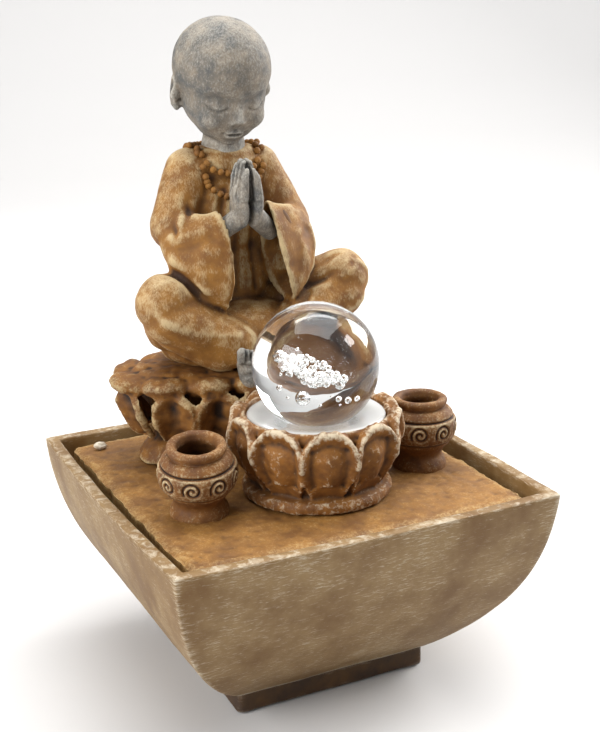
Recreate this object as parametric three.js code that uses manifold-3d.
// Tabletop water fountain: a square flared basin, a cast deck that lifts out, a seated figure on a
// lotus throne, two jars, and a lotus bowl with a clear dish in which a glass ball turns on water.
// Millimetres, +Z up, front towards -Y, origin at the bottom centre of the feet.
import * as THREE from 'three';
import { mergeVertices } from 'three/addons/utils/BufferGeometryUtils.js';
import Module from 'manifold-3d';

const wasm = await Module();
wasm.setup();

// ---------------------------------------------------------------- driving dimensions
const gap = 0.3; // left between pieces that touch
const runningGap = 0.6; // left round anything that turns or slides

// basin
const rimHalf = 80; // centre to the rim's corner, along one side
const rimBow = 1.9; // how far the middle of each rim side bulges out
const rimHeight = 83.7;
const basinWall = 5;
const basinFloor = 5;
const sideRadius = 105; // curve of the flared sides
const sideSteps = 9;

// foot
const footHalf = 42.3;
const footHeight = 9.4;
const footCornerRadius = 2;
const basinOverhang = 0.7; // the basin's underside past the plinth, all round
const padRadius = 6;
const padHeight = 2;
const padStandOff = 0.8; // how far the pads stick out below the plinth
const padInset = 12;

// deck
const deckThickness = 8;
const deckDrop = 2.7; // deck surface below the rim
const deckGap = 3; // deck edge to the basin wall
const deckWave = 0.9; // uneven cast edge
const ledgeReach = 15; // the four corner ledges that carry the deck
const ledgeDepth = 11;

// lotus bowl, dish and ball
const ballRadius = 25;
const filmGap = 0.4; // water film under the ball
const dishWall = 2.2;
const dishRadius = 27.5;
const dishSeatAngle = 38; // degrees from straight down where the seat meets the flange
const jetRadius = 2.5;
const bowlX = 2.5;
const bowlY = -23.3;
const bowlFootRadius = 30;
const bowlWall = 3.3;
const bowlFloor = 18;
const petalCount = 10;
const petalReach = 5; // the petals' tips past the bowl's wall

// pump, tube and nozzle
const pumpWidth = 38;
const pumpLength = 36;
const pumpHeight = 30;
const cupHeight = 4;
const cupRadius = 6;
const cupNeck = 2.5;
const cupToWall = 2;
const voluteRadius = 12.5;
const voluteDepth = 7;
const rotorRadius = 6.6;
const rotorLength = 20;
const shaftRadius = 1.2;
const outletRadius = 5;
const outletBore = 3.2;
const tubeWall = 1.7;
const tubeOverlap = 8; // how far the nozzle's tail goes into the tube
const tubeToDeck = 4; // the tube's end to the underside of the deck
const strainerDepth = 9;
const strainerWall = 2;
const coverThickness = 2;
const cupPitch = 20;
const slotHalf = 0.8;
const slotStart = 10.5; // the strainer's first slot, from the dial's centre
const slotPitch = 3.5;
const dialRadius = 6;

// power inlet
const inletX = -28;
const inletHeight = 65;
const inletBarrel = 4;
const inletFlange = 6.5;
const inletSeatDepth = 1.5; // flat seat sunk into the curved wall
const inletSeal = 1;
const socketRadius = 2.8;
const socketDepth = 7;
const pinRadius = 1;
const nutThickness = 2.5;
const leadRadius = 2;

// jars
const jarToBowl = 4; // room between a jar's belly and the bowl's wall, where the petals stand
const jarLeftY = -23;
const jarRightY = -19;
const jarHeight = 29.7;
const jarBelly = 15;
const jarMouth = 7.5;
const jarFoot = 11;
const jarLean = 8; // degrees that the left jar was cast leaning
const jarWall = 3;
const jarRim = jarMouth + jarWall;

// throne and figure
const pebbleSize = [2.8, 2.2, 1.6];
const throneX = -2;
const throneY = 40;
const throneHalfWidth = 58;
const throneHalfDepth = 31;
const throneHeight = 41;
const thronePetals = 14;
const figureX = -4;
const figureY = 42;
const neckRadius = 8.5;
const beadRadius = 1.2;

// ---------------------------------------------------------------- derived places
const floorZ = footHeight + basinFloor;
const deckTop = rimHeight - deckDrop;
const deckBottom = deckTop - deckThickness;
const rimMid = rimHalf + rimBow;
const pumpBaseZ = floorZ + gap + cupHeight + gap;
const tubeTop = deckBottom - tubeToDeck;
const tubeInner = outletRadius + gap;
const tubeOuter = tubeInner + tubeWall;
const nozzleBottom = tubeTop - tubeOverlap;
const outletTop = nozzleBottom - 2 * gap;
const nozzleFlange = 12;
const nozzleTopLocal = bowlFloor + gap + 3;
const dishBottomLocal = nozzleTopLocal + 2 + gap;
const ballCentreLocal = dishBottomLocal + dishWall + filmGap + ballRadius;
const seatRadius = ballRadius + filmGap;

// ---------------------------------------------------------------- helpers
const radians = THREE.MathUtils.degToRad;
const point = (x, y) => new THREE.Vector2(x, y);
const place = (x, y, z) => new THREE.Vector3(x, y, z);

function signedVolume(positions, triangles) {
  const a = new THREE.Vector3();
  const b = new THREE.Vector3();
  const c = new THREE.Vector3();
  let volume = 0;
  for (let i = 0; i < triangles.length; i += 3) {
    a.fromArray(positions, 3 * triangles[i]);
    b.fromArray(positions, 3 * triangles[i + 1]);
    c.fromArray(positions, 3 * triangles[i + 2]);
    volume += a.dot(b.cross(c)) / 6;
  }
  return volume;
}

// A closed geometry as a solid that can be joined and cut, with its faces turned outwards.
function solidOf(geometry) {
  const bare = geometry.clone();
  bare.deleteAttribute('normal');
  bare.deleteAttribute('uv');
  const merged = mergeVertices(bare, 1e-4);
  const positions = merged.attributes.position.array;
  const triangles = [];
  for (let i = 0; i < merged.index.count; i += 3) {
    const [a, b, c] = merged.index.array.slice(i, i + 3);
    if (a !== b && b !== c && c !== a) triangles.push(a, b, c);
  }
  if (signedVolume(positions, triangles) < 0) triangles.reverse();
  return new wasm.Manifold(new wasm.Mesh({
    numProp: 3,
    vertProperties: new Float32Array(positions),
    triVerts: new Uint32Array(triangles),
  }));
}

function geometryOf(solid) {
  const mesh = solid.getMesh();
  const geometry = new THREE.BufferGeometry();
  geometry.setAttribute('position', new THREE.BufferAttribute(mesh.vertProperties, 3));
  geometry.setIndex(new THREE.BufferAttribute(mesh.triVerts, 1));
  return geometry;
}

const join = (...solids) => solids.reduce((whole, next) => whole.add(next));
const cut = (solid, ...tools) => tools.reduce((rest, tool) => rest.subtract(tool), solid);

function box(x0, x1, y0, y1, z0, z1) {
  const geometry = new THREE.BoxGeometry(x1 - x0, y1 - y0, z1 - z0);
  return solidOf(geometry.translate((x0 + x1) / 2, (y0 + y1) / 2, (z0 + z1) / 2));
}

// A turned body about the Z axis from [radius, height] pairs. It closes on the axis or on itself.
function turned(profile, sides = 24) {
  const closed = [...profile];
  if (profile[0][0] > 0) closed.push(profile[0]);
  const outline = closed.map(([radius, height]) => point(radius, height));
  return solidOf(new THREE.LatheGeometry(outline, sides).rotateX(Math.PI / 2));
}

const rod = (radius, z0, z1, sides = 18) => turned([[0, z0], [radius, z0], [radius, z1], [0, z1]], sides);
const ring = (inner, outer, z0, z1, sides = 18) =>
  turned([[inner, z0], [outer, z0], [outer, z1], [inner, z1]], sides);

function ball(centre, size, across = 10, up = 7) {
  const geometry = new THREE.SphereGeometry(1, across, up).rotateX(Math.PI / 2);
  return solidOf(geometry.scale(size.x, size.y, size.z).translate(centre.x, centre.y, centre.z));
}

// A round-ended limb from one point to another.
function limb(from, to, radius, sides = 8) {
  const axis = to.clone().sub(from);
  const geometry = new THREE.CapsuleGeometry(radius, axis.length(), 2, sides);
  const turn = new THREE.Quaternion().setFromUnitVectors(place(0, 1, 0), axis.clone().normalize());
  const middle = from.clone().add(to).multiplyScalar(0.5);
  return solidOf(geometry.applyQuaternion(turn).translate(middle.x, middle.y, middle.z));
}

function extruded(shape, depth, curveSegments = 8) {
  return new THREE.ExtrudeGeometry(shape, { depth, bevelEnabled: false, curveSegments });
}

function roundedRectangle(halfX, halfY, radius) {
  const shape = new THREE.Shape();
  shape.moveTo(-halfX + radius, -halfY);
  shape.lineTo(halfX - radius, -halfY);
  shape.absarc(halfX - radius, -halfY + radius, radius, -Math.PI / 2, 0);
  shape.lineTo(halfX, halfY - radius);
  shape.absarc(halfX - radius, halfY - radius, radius, 0, Math.PI / 2);
  shape.lineTo(-halfX + radius, halfY);
  shape.absarc(-halfX + radius, halfY - radius, radius, Math.PI / 2, Math.PI);
  shape.lineTo(-halfX, -halfY + radius);
  shape.absarc(-halfX + radius, -halfY + radius, radius, Math.PI, 1.5 * Math.PI);
  return shape;
}

const facingFront = (solid) => solid.rotate([90, 0, 0]); // turns +Z to -Y
const facingBack = (solid) => solid.rotate([-90, 0, 0]); // turns +Z to +Y

function addPiece(group, name, solid, material) {
  const mesh = new THREE.Mesh(geometryOf(solid), material);
  mesh.name = name;
  group.add(mesh);
  return mesh;
}

const finish = (color, roughness, metalness = 0) =>
  new THREE.MeshStandardMaterial({ color, roughness, metalness });
const clear = (color, roughness, opacity) =>
  new THREE.MeshStandardMaterial({ color, roughness, transparent: true, opacity });

const resinBasin = finish(0x9c7f5c, 0.8);
const resinDark = finish(0x5a3d24, 0.8);
const resinOchre = finish(0xb5813c, 0.85);
const resinStone = finish(0x8d8b85, 0.8);
const paleStone = finish(0xcfc8ba, 0.7);
const rubber = finish(0x1c1c1c, 0.9);
const plasticBlack = finish(0x202224, 0.5);
const plasticGrey = finish(0x3a3d40, 0.45);
const acetal = finish(0xdedfe0, 0.4);
const ceramic = finish(0xe8e4dc, 0.3);
const ferrite = finish(0x2b2b2e, 0.4, 0.6);
const brass = finish(0xb08d45, 0.35, 1);
const vinyl = clear(0xd8dcd8, 0.25, 0.6);
const glass = clear(0xeef4f2, 0.03, 0.3);

// ---------------------------------------------------------------- basin
// Centre of the arc through the foot's edge and the rim's middle.
function sideArc() {
  const low = point(footHalf + basinOverhang, footHeight);
  const high = point(rimMid, rimHeight);
  const chord = high.clone().sub(low);
  const reach = Math.sqrt(sideRadius ** 2 - chord.length() ** 2 / 4);
  const inward = point(-chord.y, chord.x).normalize();
  return low.clone().add(high).multiplyScalar(0.5).addScaledVector(inward, reach);
}
const arc = sideArc();
const halfAt = (z, inset) => arc.x + Math.sqrt((sideRadius - inset) ** 2 - (arc.y - z) ** 2);

// A bar whose section is the basin's side view, long enough to cross the other one.
function sideBar(inset, bottom, top) {
  const shape = new THREE.Shape();
  for (let i = 0; i <= sideSteps; i += 1) {
    const z = bottom + (top - bottom) * (i / sideSteps);
    if (i === 0) shape.moveTo(halfAt(z, inset), z);
    else shape.lineTo(halfAt(z, inset), z);
  }
  for (let i = sideSteps; i >= 0; i -= 1) {
    const z = bottom + (top - bottom) * (i / sideSteps);
    shape.lineTo(-halfAt(z, inset), z);
  }
  const length = 2.4 * rimMid;
  return solidOf(extruded(shape, length).translate(0, 0, -length / 2).rotateX(Math.PI / 2));
}

// The rim's plan: a square whose sides bulge by the bow.
function rimPlan(inset, bottom, top) {
  const half = rimHalf - inset;
  const shape = new THREE.Shape();
  shape.moveTo(-half, -half);
  shape.quadraticCurveTo(0, -half - 2 * rimBow, half, -half);
  shape.quadraticCurveTo(half + 2 * rimBow, 0, half, half);
  shape.quadraticCurveTo(0, half + 2 * rimBow, -half, half);
  shape.quadraticCurveTo(-half - 2 * rimBow, 0, -half, -half);
  return solidOf(extruded(shape, top - bottom, 9).translate(0, 0, bottom));
}

function flaredBlock(inset, bottom, top) {
  const bar = sideBar(inset, bottom, top);
  return bar.intersect(bar.rotate([0, 0, 90])).intersect(rimPlan(inset, bottom - 1, top + 1));
}

// The inlet's own frame: its +Z points out of the back wall, square to the wall.
const wallSlope = Math.asin((arc.y - inletHeight) / sideRadius);
const inletTurn = -Math.PI / 2 - wallSlope;
const inletY = halfAt(inletHeight, 0);
const inletFrame = new THREE.Matrix4().makeRotationX(inletTurn).setPosition(inletX, inletY, inletHeight);

function basinShell() {
  const outside = flaredBlock(0, footHeight, rimHeight);
  const inside = flaredBlock(basinWall, floorZ, rimHeight + 2);
  let shell = cut(outside, inside);
  const ledgeTop = deckBottom - gap;
  const ledgeOuter = halfAt(ledgeTop - ledgeDepth, basinWall / 2);
  const ledgeInner = ledgeOuter - ledgeReach;
  const ledge = box(ledgeInner, ledgeOuter, ledgeInner, ledgeOuter, ledgeTop - ledgeDepth, ledgeTop);
  for (const turn of [0, 90, 180, 270]) shell = shell.add(ledge.rotate([0, 0, turn]));
  const matrix = inletFrame.elements;
  const bore = rod(inletBarrel + gap, -3 * basinWall, 2 * basinWall).transform([...matrix]);
  const outerSeat = rod(inletFlange + 2 * gap, -inletSeatDepth, 2 * basinWall).transform([...matrix]);
  const innerSeat = rod(inletFlange + 2, -3 * basinWall, inletSeatDepth - basinWall).transform([...matrix]);
  return cut(shell, bore, outerSeat, innerSeat);
}

const basin = new THREE.Group();
addPiece(basin, 'basin_shell', basinShell(), resinBasin);

const padSpots = [[-1, -1], [1, -1], [1, 1], [-1, 1]].map(([sx, sy]) =>
  place(sx * (footHalf - padInset), sy * (footHalf - padInset), 0));

function footPlinth() {
  const height = footHeight - gap - padStandOff;
  const plan = extruded(roundedRectangle(footHalf, footHalf, footCornerRadius), height, 4);
  const block = solidOf(plan.translate(0, 0, padStandOff));
  const recess = rod(padRadius + gap, -1, padHeight + gap);
  return cut(block, ...padSpots.map((spot) => recess.translate(spot.toArray())));
}
addPiece(basin, 'foot_plinth', footPlinth(), resinDark);
padSpots.forEach((spot, i) => {
  addPiece(basin, `foot_pad_${i + 1}`, rod(padRadius, 0, padHeight), rubber).position.copy(spot);
});

// ---------------------------------------------------------------- power inlet in the back wall
const inlet = new THREE.Group();
inlet.rotation.x = inletTurn;
inlet.position.set(inletX, inletY, inletHeight);
basin.add(inlet);

const flangeBottom = inletSeal - inletSeatDepth + 2 * gap;
const flangeTop = flangeBottom + 1.2;
const nutTop = inletSeatDepth - basinWall - gap;
const barrelEnd = nutTop - nutThickness - 4;

function inletBody() {
  return turned([
    [0, barrelEnd], [inletBarrel, barrelEnd], [inletBarrel, flangeBottom], [inletFlange, flangeBottom],
    [inletFlange, flangeTop], [socketRadius, flangeTop], [socketRadius, flangeTop - socketDepth],
    [0, flangeTop - socketDepth],
  ]);
}
addPiece(inlet, 'inlet_body', inletBody(), plasticBlack);
addPiece(inlet, 'inlet_pin', rod(pinRadius, flangeTop - socketDepth + gap, flangeTop - 1, 12), brass);
const seal = ring(inletBarrel + gap, inletFlange, gap - inletSeatDepth, flangeBottom - gap);
addPiece(inlet, 'inlet_seal', seal, rubber);
const nutHole = rod(inletBarrel + gap, nutTop - 4, nutTop + 1);
addPiece(inlet, 'inlet_nut', cut(rod(inletFlange, nutTop - nutThickness, nutTop, 6), nutHole), plasticGrey);

// ---------------------------------------------------------------- pump on the basin floor
// The pump's own frame: the outlet stands on its Z axis, the basin floor is at zero and the strainer
// faces -Y. The whole pump is turned so that the strainer faces the basin's right side.
const pump = new THREE.Group();
pump.rotation.z = Math.PI / 2;
pump.position.set(bowlX, bowlY, floorZ);
basin.add(pump);

const bottom = pumpBaseZ - floorZ;
const frontY = -voluteDepth - 2;
const backY = frontY + pumpLength;
const axisZ = bottom + pumpHeight / 2;
const chamberFloor = frontY + voluteDepth;
const wellEnd = chamberFloor + rotorLength + 2 * runningGap;
const alongAxis = (solid) => facingBack(solid).translate([0, 0, axisZ]);

function pumpHousing() {
  const plan = extruded(roundedRectangle(pumpWidth / 2, pumpLength / 2, 4), pumpHeight, 4);
  const block = solidOf(plan.translate(0, (frontY + backY) / 2, bottom));
  const outlet = rod(outletRadius, bottom + pumpHeight - 1, outletTop - floorZ);
  const bore = rod(outletBore, axisZ, outletTop - floorZ + 1);
  const chamber = alongAxis(rod(voluteRadius, frontY - 1, chamberFloor));
  const well = alongAxis(rod(rotorRadius + runningGap, chamberFloor - 1, wellEnd));
  const shaftHole = alongAxis(rod(shaftRadius + gap, wellEnd - 1, wellEnd + 4));
  const leadHole = rod(leadRadius + gap, 0, 4).rotate([-90, 0, 0]).translate([0, backY - 3, axisZ]);
  return cut(block.add(outlet), bore, chamber, well, shaftHole, leadHole);
}
addPiece(pump, 'pump_housing', pumpHousing(), plasticBlack);

const coverFront = frontY - gap - coverThickness;
function voluteCover() {
  const plan = extruded(
    roundedRectangle(pumpWidth / 2 - 3, pumpHeight / 2 - 1, 3), coverThickness, 4);
  const plate = facingFront(solidOf(plan)).translate([0, frontY - gap, axisZ]);
  const eye = alongAxis(ring(shaftRadius + 1.8, 5, coverFront - 1, frontY));
  const shaftEnd = alongAxis(rod(shaftRadius + gap, coverFront - 1, frontY));
  const spoke = box(-6, 6, coverFront, frontY - gap, axisZ - 0.9, axisZ + 0.9);
  return cut(cut(plate, eye).add(spoke), shaftEnd);
}
addPiece(pump, 'volute_cover', voluteCover(), plasticGrey);
addPiece(pump, 'rotor_shaft', alongAxis(rod(shaftRadius, coverFront + gap, wellEnd + 3.5, 12)), ceramic);

// The cups stand under the housing, clear of the wall where the floor curves up in front of them.
const cupSide = halfAt(floorZ, basinWall) + bowlY - cupRadius - cupToWall;
const cupSpots = [[-cupSide, 0], [cupSide, 0], [cupSide, cupPitch], [-cupSide, cupPitch]];
const cupTop = cupHeight + gap;
cupSpots.forEach(([x, y], i) => {
  const profile = [
    [0, gap], [cupRadius, gap], [cupRadius - 0.6, 1.6], [cupNeck, 2.4], [cupNeck, cupTop], [0, cupTop],
  ];
  addPiece(pump, `suction_cup_${i + 1}`, turned(profile, 16), rubber).position.set(x, y, 0);
});

// The rotor: a bored magnet in the well and a vaned impeller in the chamber.
function rotorMagnet() {
  return alongAxis(ring(shaftRadius + gap, rotorRadius, chamberFloor + runningGap, wellEnd - runningGap, 20));
}
function impellerWheel() {
  const back = chamberFloor - runningGap;
  const wheel = ring(shaftRadius + gap, voluteRadius - 2, back - 1.6, back, 24);
  const hub = ring(shaftRadius + gap, 3.2, back - 5, chamberFloor + runningGap - gap, 24);
  let whole = wheel.add(hub);
  for (let i = 0; i < 6; i += 1) {
    const vane = box(2.6, voluteRadius - 2.4, -0.5, 0.5, back - 4.6, back - 1);
    whole = whole.add(vane.rotate([0, 0, 60 * i]));
  }
  return alongAxis(whole);
}
addPiece(pump, 'rotor_magnet', rotorMagnet(), ferrite);
addPiece(pump, 'impeller', impellerWheel(), acetal);

// The strainer clips over the front and slides off forwards. The flow dial turns in its face.
const strainerBack = coverFront - gap;
function strainerCover() {
  const halfX = pumpWidth / 2;
  const halfZ = pumpHeight / 2;
  const outer = facingFront(solidOf(extruded(roundedRectangle(halfX, halfZ, 4), strainerDepth, 4)));
  const hollow = facingFront(solidOf(extruded(
    roundedRectangle(halfX - strainerWall, halfZ - strainerWall, 2.5), strainerDepth - strainerWall, 4)));
  let cover = cut(outer, hollow.translate([0, 0.5, 0]));
  const slotTop = halfZ - 5;
  const slot = box(-slotHalf, slotHalf, -strainerDepth - 1, 3 - strainerDepth, -slotTop, slotTop);
  for (const x of [slotStart, slotStart + slotPitch]) {
    cover = cut(cover, slot.translate([x, 0, 0]), slot.translate([-x, 0, 0]));
  }
  cover = cut(cover, facingFront(rod(dialRadius - 2, strainerDepth - 3, strainerDepth + 1)));
  return cover.translate([0, strainerBack, axisZ]);
}
function flowDial() {
  const stem = rod(dialRadius - 2 - runningGap / 2, strainerDepth - strainerWall - 2, strainerDepth + gap);
  const disc = rod(dialRadius, strainerDepth + gap, strainerDepth + gap + 1.4);
  const grip = box(-dialRadius + 1, dialRadius - 1, -0.8, 0.8, strainerDepth + 1, strainerDepth + gap + 3);
  return facingFront(join(stem, disc, grip)).translate([0, strainerBack, axisZ]);
}
addPiece(pump, 'strainer_cover', strainerCover(), plasticGrey);
addPiece(pump, 'flow_dial', flowDial(), plasticGrey);

const tubeBottomLocal = pumpHeight + bottom + gap;
const riser = ring(tubeInner, tubeOuter, tubeBottomLocal, tubeTop - floorZ, 20);
addPiece(pump, 'riser_tube', riser, vinyl);

// The lead from the pump round the basin and up the inside of the back wall to the inlet.
const leadStartX = bowlX - backY;
const leadStartZ = floorZ + axisZ;
const leadRoute = [
  [leadStartX - gap, bowlY, leadStartZ],
  [leadStartX - 8, bowlY + 2, leadStartZ - 2],
  [leadStartX - 12, bowlY + 14, leadStartZ - 8],
  [leadStartX - 12, bowlY + 34, floorZ + 9],
  [leadStartX - 9, bowlY + 56, floorZ + 12],
  [inletX - 3, halfAt(42, basinWall) - 9, 42],
  [inletX - 1, halfAt(54, basinWall) - 12, 54],
];
function pumpLead() {
  const end = place(0, 0, barrelEnd - gap).applyMatrix4(inletFrame);
  const beforeEnd = place(0, 0, barrelEnd - 5).applyMatrix4(inletFrame);
  const points = leadRoute.map((p) => place(...p));
  points.push(beforeEnd, end);
  const route = new THREE.CatmullRomCurve3(points, false, 'centripetal');
  const section = new THREE.Shape();
  section.absarc(0, 0, leadRadius, 0, 2 * Math.PI);
  return solidOf(new THREE.ExtrudeGeometry(section, {
    steps: 32, curveSegments: 4, bevelEnabled: false, extrudePath: route,
  }));
}
addPiece(basin, 'pump_lead', pumpLead(), rubber);

// ---------------------------------------------------------------- deck
// Everything on the deck is placed from its top face.
const deck = new THREE.Group();
deck.position.z = deckTop;

const deckHalf = halfAt(deckBottom, basinWall) - deckGap;
function deckPlate() {
  const shape = new THREE.Shape();
  const steps = 18;
  const wave = (t, phase) => deckWave * Math.sin(5.3 * t + phase) * Math.cos(11 * t + 2 * phase);
  for (let side = 0; side < 4; side += 1) {
    for (let i = 0; i < steps; i += 1) {
      const t = -1 + (2 * i) / steps;
      const out = deckHalf - 1 - wave(t, side) - 2.2 * Math.abs(t) ** 12;
      const spot = point(deckHalf * 0.97 * t, -out).rotateAround(point(0, 0), (side * Math.PI) / 2);
      if (side === 0 && i === 0) shape.moveTo(spot.x, spot.y);
      else shape.lineTo(spot.x, spot.y);
    }
  }
  const slab = solidOf(extruded(shape, deckThickness).translate(0, 0, -deckThickness));
  return cut(slab, rod(outletRadius + 1, -deckThickness - 1, 1).translate([bowlX, bowlY, 0]));
}
addPiece(deck, 'deck_plate', deckPlate(), resinOchre);

// ---------------------------------------------------------------- lotus bowl, nozzle, dish, ball
const lotus = new THREE.Group();
lotus.position.set(bowlX, bowlY, 0);
deck.add(lotus);

// Where the spherical seat of the dish ends and its flange begins.
const seatAngle = radians(dishSeatAngle);
const seatEdge = seatRadius * Math.sin(seatAngle);
const flangeZ = ballCentreLocal - seatRadius * Math.cos(seatAngle);
const flangeEdgeZ = flangeZ + 1.2;
const shoulderZ = flangeEdgeZ - dishWall - gap;
const mouthRadius = dishRadius + 2 * gap;
const lipZ = flangeEdgeZ + 1;

function lotusBowl() {
  const outer = mouthRadius + bowlWall;
  let bowl = turned([
    [outletRadius + 1, gap], [bowlFootRadius, gap], [bowlFootRadius, 3.5], [bowlFootRadius - 2, 5.5],
    [bowlFootRadius - 4.5, 7], [bowlFootRadius - 2.5, 13], [outer - 1, 22], [outer, shoulderZ],
    [outer, lipZ], [mouthRadius, lipZ], [mouthRadius, shoulderZ], [seatEdge + dishWall + 6, shoulderZ],
    [seatEdge + dishWall + 4, bowlFloor + 3], [seatEdge + dishWall + 2, bowlFloor],
    [outletRadius + 1, bowlFloor],
  ], 24);
  const upright = ball(place(0, 0, 0), place(8.6, 3, 14), 7, 6).rotate([-7, 0, 0]);
  const petal = upright.translate([0, 1.7 - outer, 20.5]);
  for (let i = 0; i < petalCount; i += 1) {
    bowl = bowl.add(petal.rotate([0, 0, (i + 0.5) * (360 / petalCount)]));
  }
  const mouth = rod(mouthRadius, shoulderZ, 3 * lipZ, 24);
  const well = rod(seatEdge + dishWall + 4, bowlFloor + 3, 3 * lipZ, 24);
  return cut(bowl, mouth, well);
}
addPiece(lotus, 'lotus_bowl', lotusBowl(), resinOchre);

// The nozzle's tail hangs through the deck into the riser tube. A rubber ring holds it in the bowl.
const tailBottom = nozzleBottom - deckTop;
const nozzleRingThickness = 1;
function nozzle() {
  const flangeLow = bowlFloor + 2 * gap + nozzleRingThickness;
  return turned([
    [jetRadius, tailBottom], [outletRadius - 0.8, tailBottom], [outletRadius, tailBottom + 2],
    [outletRadius, flangeLow], [nozzleFlange, flangeLow], [nozzleFlange, flangeLow + 1.4],
    [4.2, flangeLow + 2], [3.6, nozzleTopLocal + 1.7], [jetRadius, nozzleTopLocal + 1.7],
  ], 18);
}
addPiece(lotus, 'nozzle', nozzle(), plasticBlack);
const ringTop = bowlFloor + gap + nozzleRingThickness;
addPiece(lotus, 'nozzle_seal', ring(outletRadius + gap, nozzleFlange - 1, bowlFloor + gap, ringTop), rubber);

function glassDish() {
  const seat = [];
  const under = [];
  const steps = 4;
  const start = Math.asin(jetRadius / seatRadius);
  for (let i = 0; i <= steps; i += 1) {
    const angle = start + (seatAngle - start) * (i / steps);
    seat.push([seatRadius * Math.sin(angle), ballCentreLocal - seatRadius * Math.cos(angle)]);
    const deep = seatRadius + dishWall;
    under.push([Math.max(jetRadius, deep * Math.sin(angle)), ballCentreLocal - deep * Math.cos(angle)]);
  }
  const rim = [
    [dishRadius - 1.2, flangeEdgeZ], [dishRadius, flangeEdgeZ - 0.5], [dishRadius, flangeEdgeZ - dishWall],
  ];
  return turned([...seat, ...rim, ...under.reverse()], 28);
}
addPiece(lotus, 'glass_dish', glassDish(), glass);
addPiece(lotus, 'glass_ball', ball(place(0, 0, 0), place(ballRadius, ballRadius, ballRadius), 24, 14), glass)
  .position.z = ballCentreLocal;

// ---------------------------------------------------------------- jars and pebble
const jarOffset = mouthRadius + bowlWall + jarToBowl + jarBelly;

function jar(lean) {
  const bellyInside = jarBelly - jarWall;
  const outside = [
    [0, -3], [jarFoot, -3], [jarFoot, 1.6], [jarFoot - 2, 4.4], [jarFoot - 1.4, 7], [jarBelly - 1.8, 12],
    [jarBelly, 17], [jarBelly - 0.4, 20], [jarBelly - 2.6, 23], [jarRim - 0.8, 24.6],
    [jarRim, 25.6], [jarRim, jarHeight - 1], [jarRim - 1, jarHeight], [jarMouth, jarHeight - 0.6],
  ];
  const inside = [
    [jarMouth - 0.6, 24.4], [bellyInside - 1.4, 21.5], [bellyInside - 0.6, 17],
    [bellyInside - 3, 11], [0, 9],
  ];
  const leaned = turned([...outside, ...inside], 16).rotate(lean);
  return cut(leaned, box(-2 * jarBelly, 2 * jarBelly, -2 * jarBelly, 2 * jarBelly, -10, gap));
}
const jarLeft = addPiece(deck, 'jar_left', jar([jarLean, -jarLean / 2, 0]), resinOchre);
jarLeft.position.set(bowlX - jarOffset, jarLeftY, 0);
const jarRight = addPiece(deck, 'jar_right', jar([0, 0, 0]), resinOchre);
jarRight.position.set(bowlX + jarOffset, jarRightY, 0);

const pebble = solidOf(new THREE.IcosahedronGeometry(1, 1).scale(...pebbleSize));
addPiece(deck, 'pebble', pebble, paleStone).position.set(12 - deckHalf, deckHalf - 11, pebbleSize[2] + gap);

// ---------------------------------------------------------------- throne
const throne = new THREE.Group();
throne.position.set(throneX, throneY, 0);
deck.add(throne);

function lotusThrone() {
  const scaled = (solid) => solid.scale([throneHalfWidth, throneHalfDepth, 1]);
  const top = throneHeight;
  let body = scaled(turned([
    [0, gap], [0.88, gap], [0.84, 5], [0.74, 12], [0.72, 17], [0.8, 24], [0.9, 31], [0.95, 36],
    [0.92, top - 1], [0.84, top], [0, top],
  ], 24));
  for (let i = 0; i < thronePetals; i += 1) {
    const turn = (i + 0.5) * (2 * Math.PI / thronePetals);
    const x = Math.cos(turn) * (throneHalfWidth - 4.5);
    const y = Math.sin(turn) * (throneHalfDepth - 4.5);
    body = body.add(ball(place(x, y, top - 9), place(7.5, 4.5, 8), 6, 4));
  }
  const bowlReach = mouthRadius + bowlWall + petalReach + gap;
  const bowlRoom = rod(bowlReach, 0, 2 * top).translate([bowlX - throneX, bowlY - throneY, 0]);
  return cut(body, bowlRoom);
}
addPiece(throne, 'lotus_throne', lotusThrone(), resinOchre);

// ---------------------------------------------------------------- seated figure
// The figure's own frame: the throne's top is at zero and the spine is on the Z axis.
const figure = new THREE.Group();
figure.position.set(figureX, figureY, throneHeight + gap);
deck.add(figure);

const headCentre = place(-2.5, -1, 115.5);
const headSize = place(20, 22.5, 24.5);
const collarTop = 92;
const belowSeat = box(-90, 90, -60, 60, -40, 0);

function headAndNeck(grow = 0) {
  const size = headSize.clone().addScalar(grow);
  const skull = ball(headCentre, size, 18, 12);
  const neck = rod(neckRadius + grow, collarTop - 6 - grow, headCentre.z - 8, 16).translate([-2, 0, 0]);
  const ear = (side) =>
    ball(headCentre.clone().add(place(side * 19.5, 1.5, -4)), place(2.6 + grow, 4 + grow, 6 + grow), 8, 8);
  return join(skull, neck, ear(-1), ear(1));
}

function prayingHands(grow = 0) {
  const palm = ball(place(-4, -26, 73), place(5.4 + grow, 6.5 + grow, 15.5 + grow), 10, 8);
  const wrist = (side) => limb(place(-4 + side * 1.5, -25, 62), place(-4 + side * 9, -21, 58), 3.6 + grow, 7);
  return join(palm, wrist(-1), wrist(1));
}

function crossedFeet(grow = 0) {
  const sole = ball(place(-6, -27, 5), place(5 + grow, 4.5 + grow, 7 + grow), 10, 8);
  const heel = ball(place(-2, -24, 2), place(8 + grow, 5 + grow, 4 + grow), 10, 8);
  return join(sole, heel);
}

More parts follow.
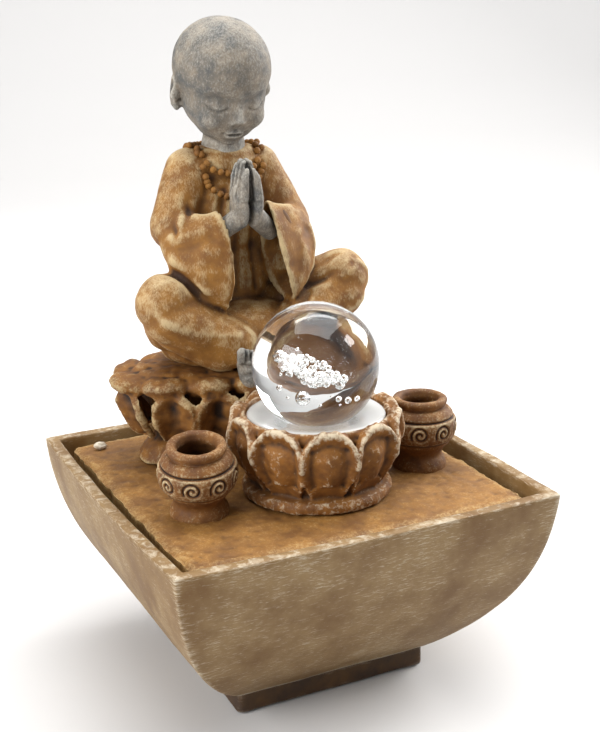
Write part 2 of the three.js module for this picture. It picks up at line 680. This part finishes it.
// Two loops of beads lie round the neck and hang down the chest.
function beadLoop(halfWidth, halfDepth, drop, grow = 0) {
  const loop = new THREE.TorusGeometry(1, 0.5, 4, 18);
  const positions = loop.attributes.position;
  const spot = new THREE.Vector3();
  for (let i = 0; i < positions.count; i += 1) {
    spot.fromBufferAttribute(positions, i);
    const turn = Math.atan2(spot.y, spot.x);
    const radial = (Math.hypot(spot.x, spot.y) - 1) * 2 * (beadRadius + grow);
    const sag = drop * (0.5 - 0.5 * Math.sin(turn)) ** 1.5;
    const x = Math.cos(turn) * (halfWidth + radial);
    const y = Math.sin(turn) * (halfDepth + radial);
    positions.setXYZ(i, x - 2, y - 1.5, collarTop - 1 - sag + spot.z * 2 * (beadRadius + grow));
  }
  return solidOf(loop);
}
const loops = [[12.5, 12.5, 13], [15.5, 15, 21]]; // half width, half depth, drop

function robe() {
  const torso = join(
    ball(place(0, 3, 12), place(33, 21, 17), 12, 6),
    ball(place(-1, 2, 38), place(21, 16, 30), 12, 8),
    ball(place(-1.5, 0, 70), place(21, 14, 22), 12, 8),
    ball(place(-2, 0, 84), place(15, 12, 10), 12, 6),
  );
  const lap = ball(place(0, -14, 12), place(27, 13, 18), 12, 6);
  const legs = [-1, 1].map((side) => {
    const knee = place(side * 40 + 2, -18, 30 + side);
    return join(
      limb(place(side * 14, -2, 14), knee, 11.5),
      limb(knee, place(side * 10, -24, 9), 10),
      limb(place(side * 24, -4, 10), place(side * 12, -20, 8), 9.5),
    );
  });
  const arms = [-1, 1].map((side) => {
    const shoulder = place(side * 17 - 2, 0, 79);
    const elbow = place(side * 32 - 2, -8, 58);
    const cuff = place(side * 13 - 4, -19, 60);
    const hem = place(side * 9 - 2, -20, 31);
    return join(limb(shoulder, elbow, 8.5), limb(elbow, cuff, 8), limb(cuff, hem, 5), limb(elbow, hem, 5.5),
      limb(place(side * 20 - 2, -13, 48), hem, 6));
  });
  let body = join(torso, lap, ...legs, ...arms);
  body = cut(body, headAndNeck(gap), prayingHands(gap), crossedFeet(gap));
  body = cut(body, ...loops.map((size) => beadLoop(...size, gap)));
  return cut(body, belowSeat);
}

addPiece(figure, 'monk_robe', robe(), resinOchre);
addPiece(figure, 'monk_head', headAndNeck(), resinStone);
addPiece(figure, 'praying_hands', prayingHands(), resinStone);
addPiece(figure, 'crossed_feet', cut(crossedFeet(), belowSeat), resinStone);
loops.forEach((size, i) => {
  const beads = cut(beadLoop(...size), headAndNeck(gap), prayingHands(gap));
  addPiece(figure, `prayer_beads_${i + 1}`, beads, resinOchre);
});

const fountain = new THREE.Group();
fountain.add(basin, deck);
export default fountain;
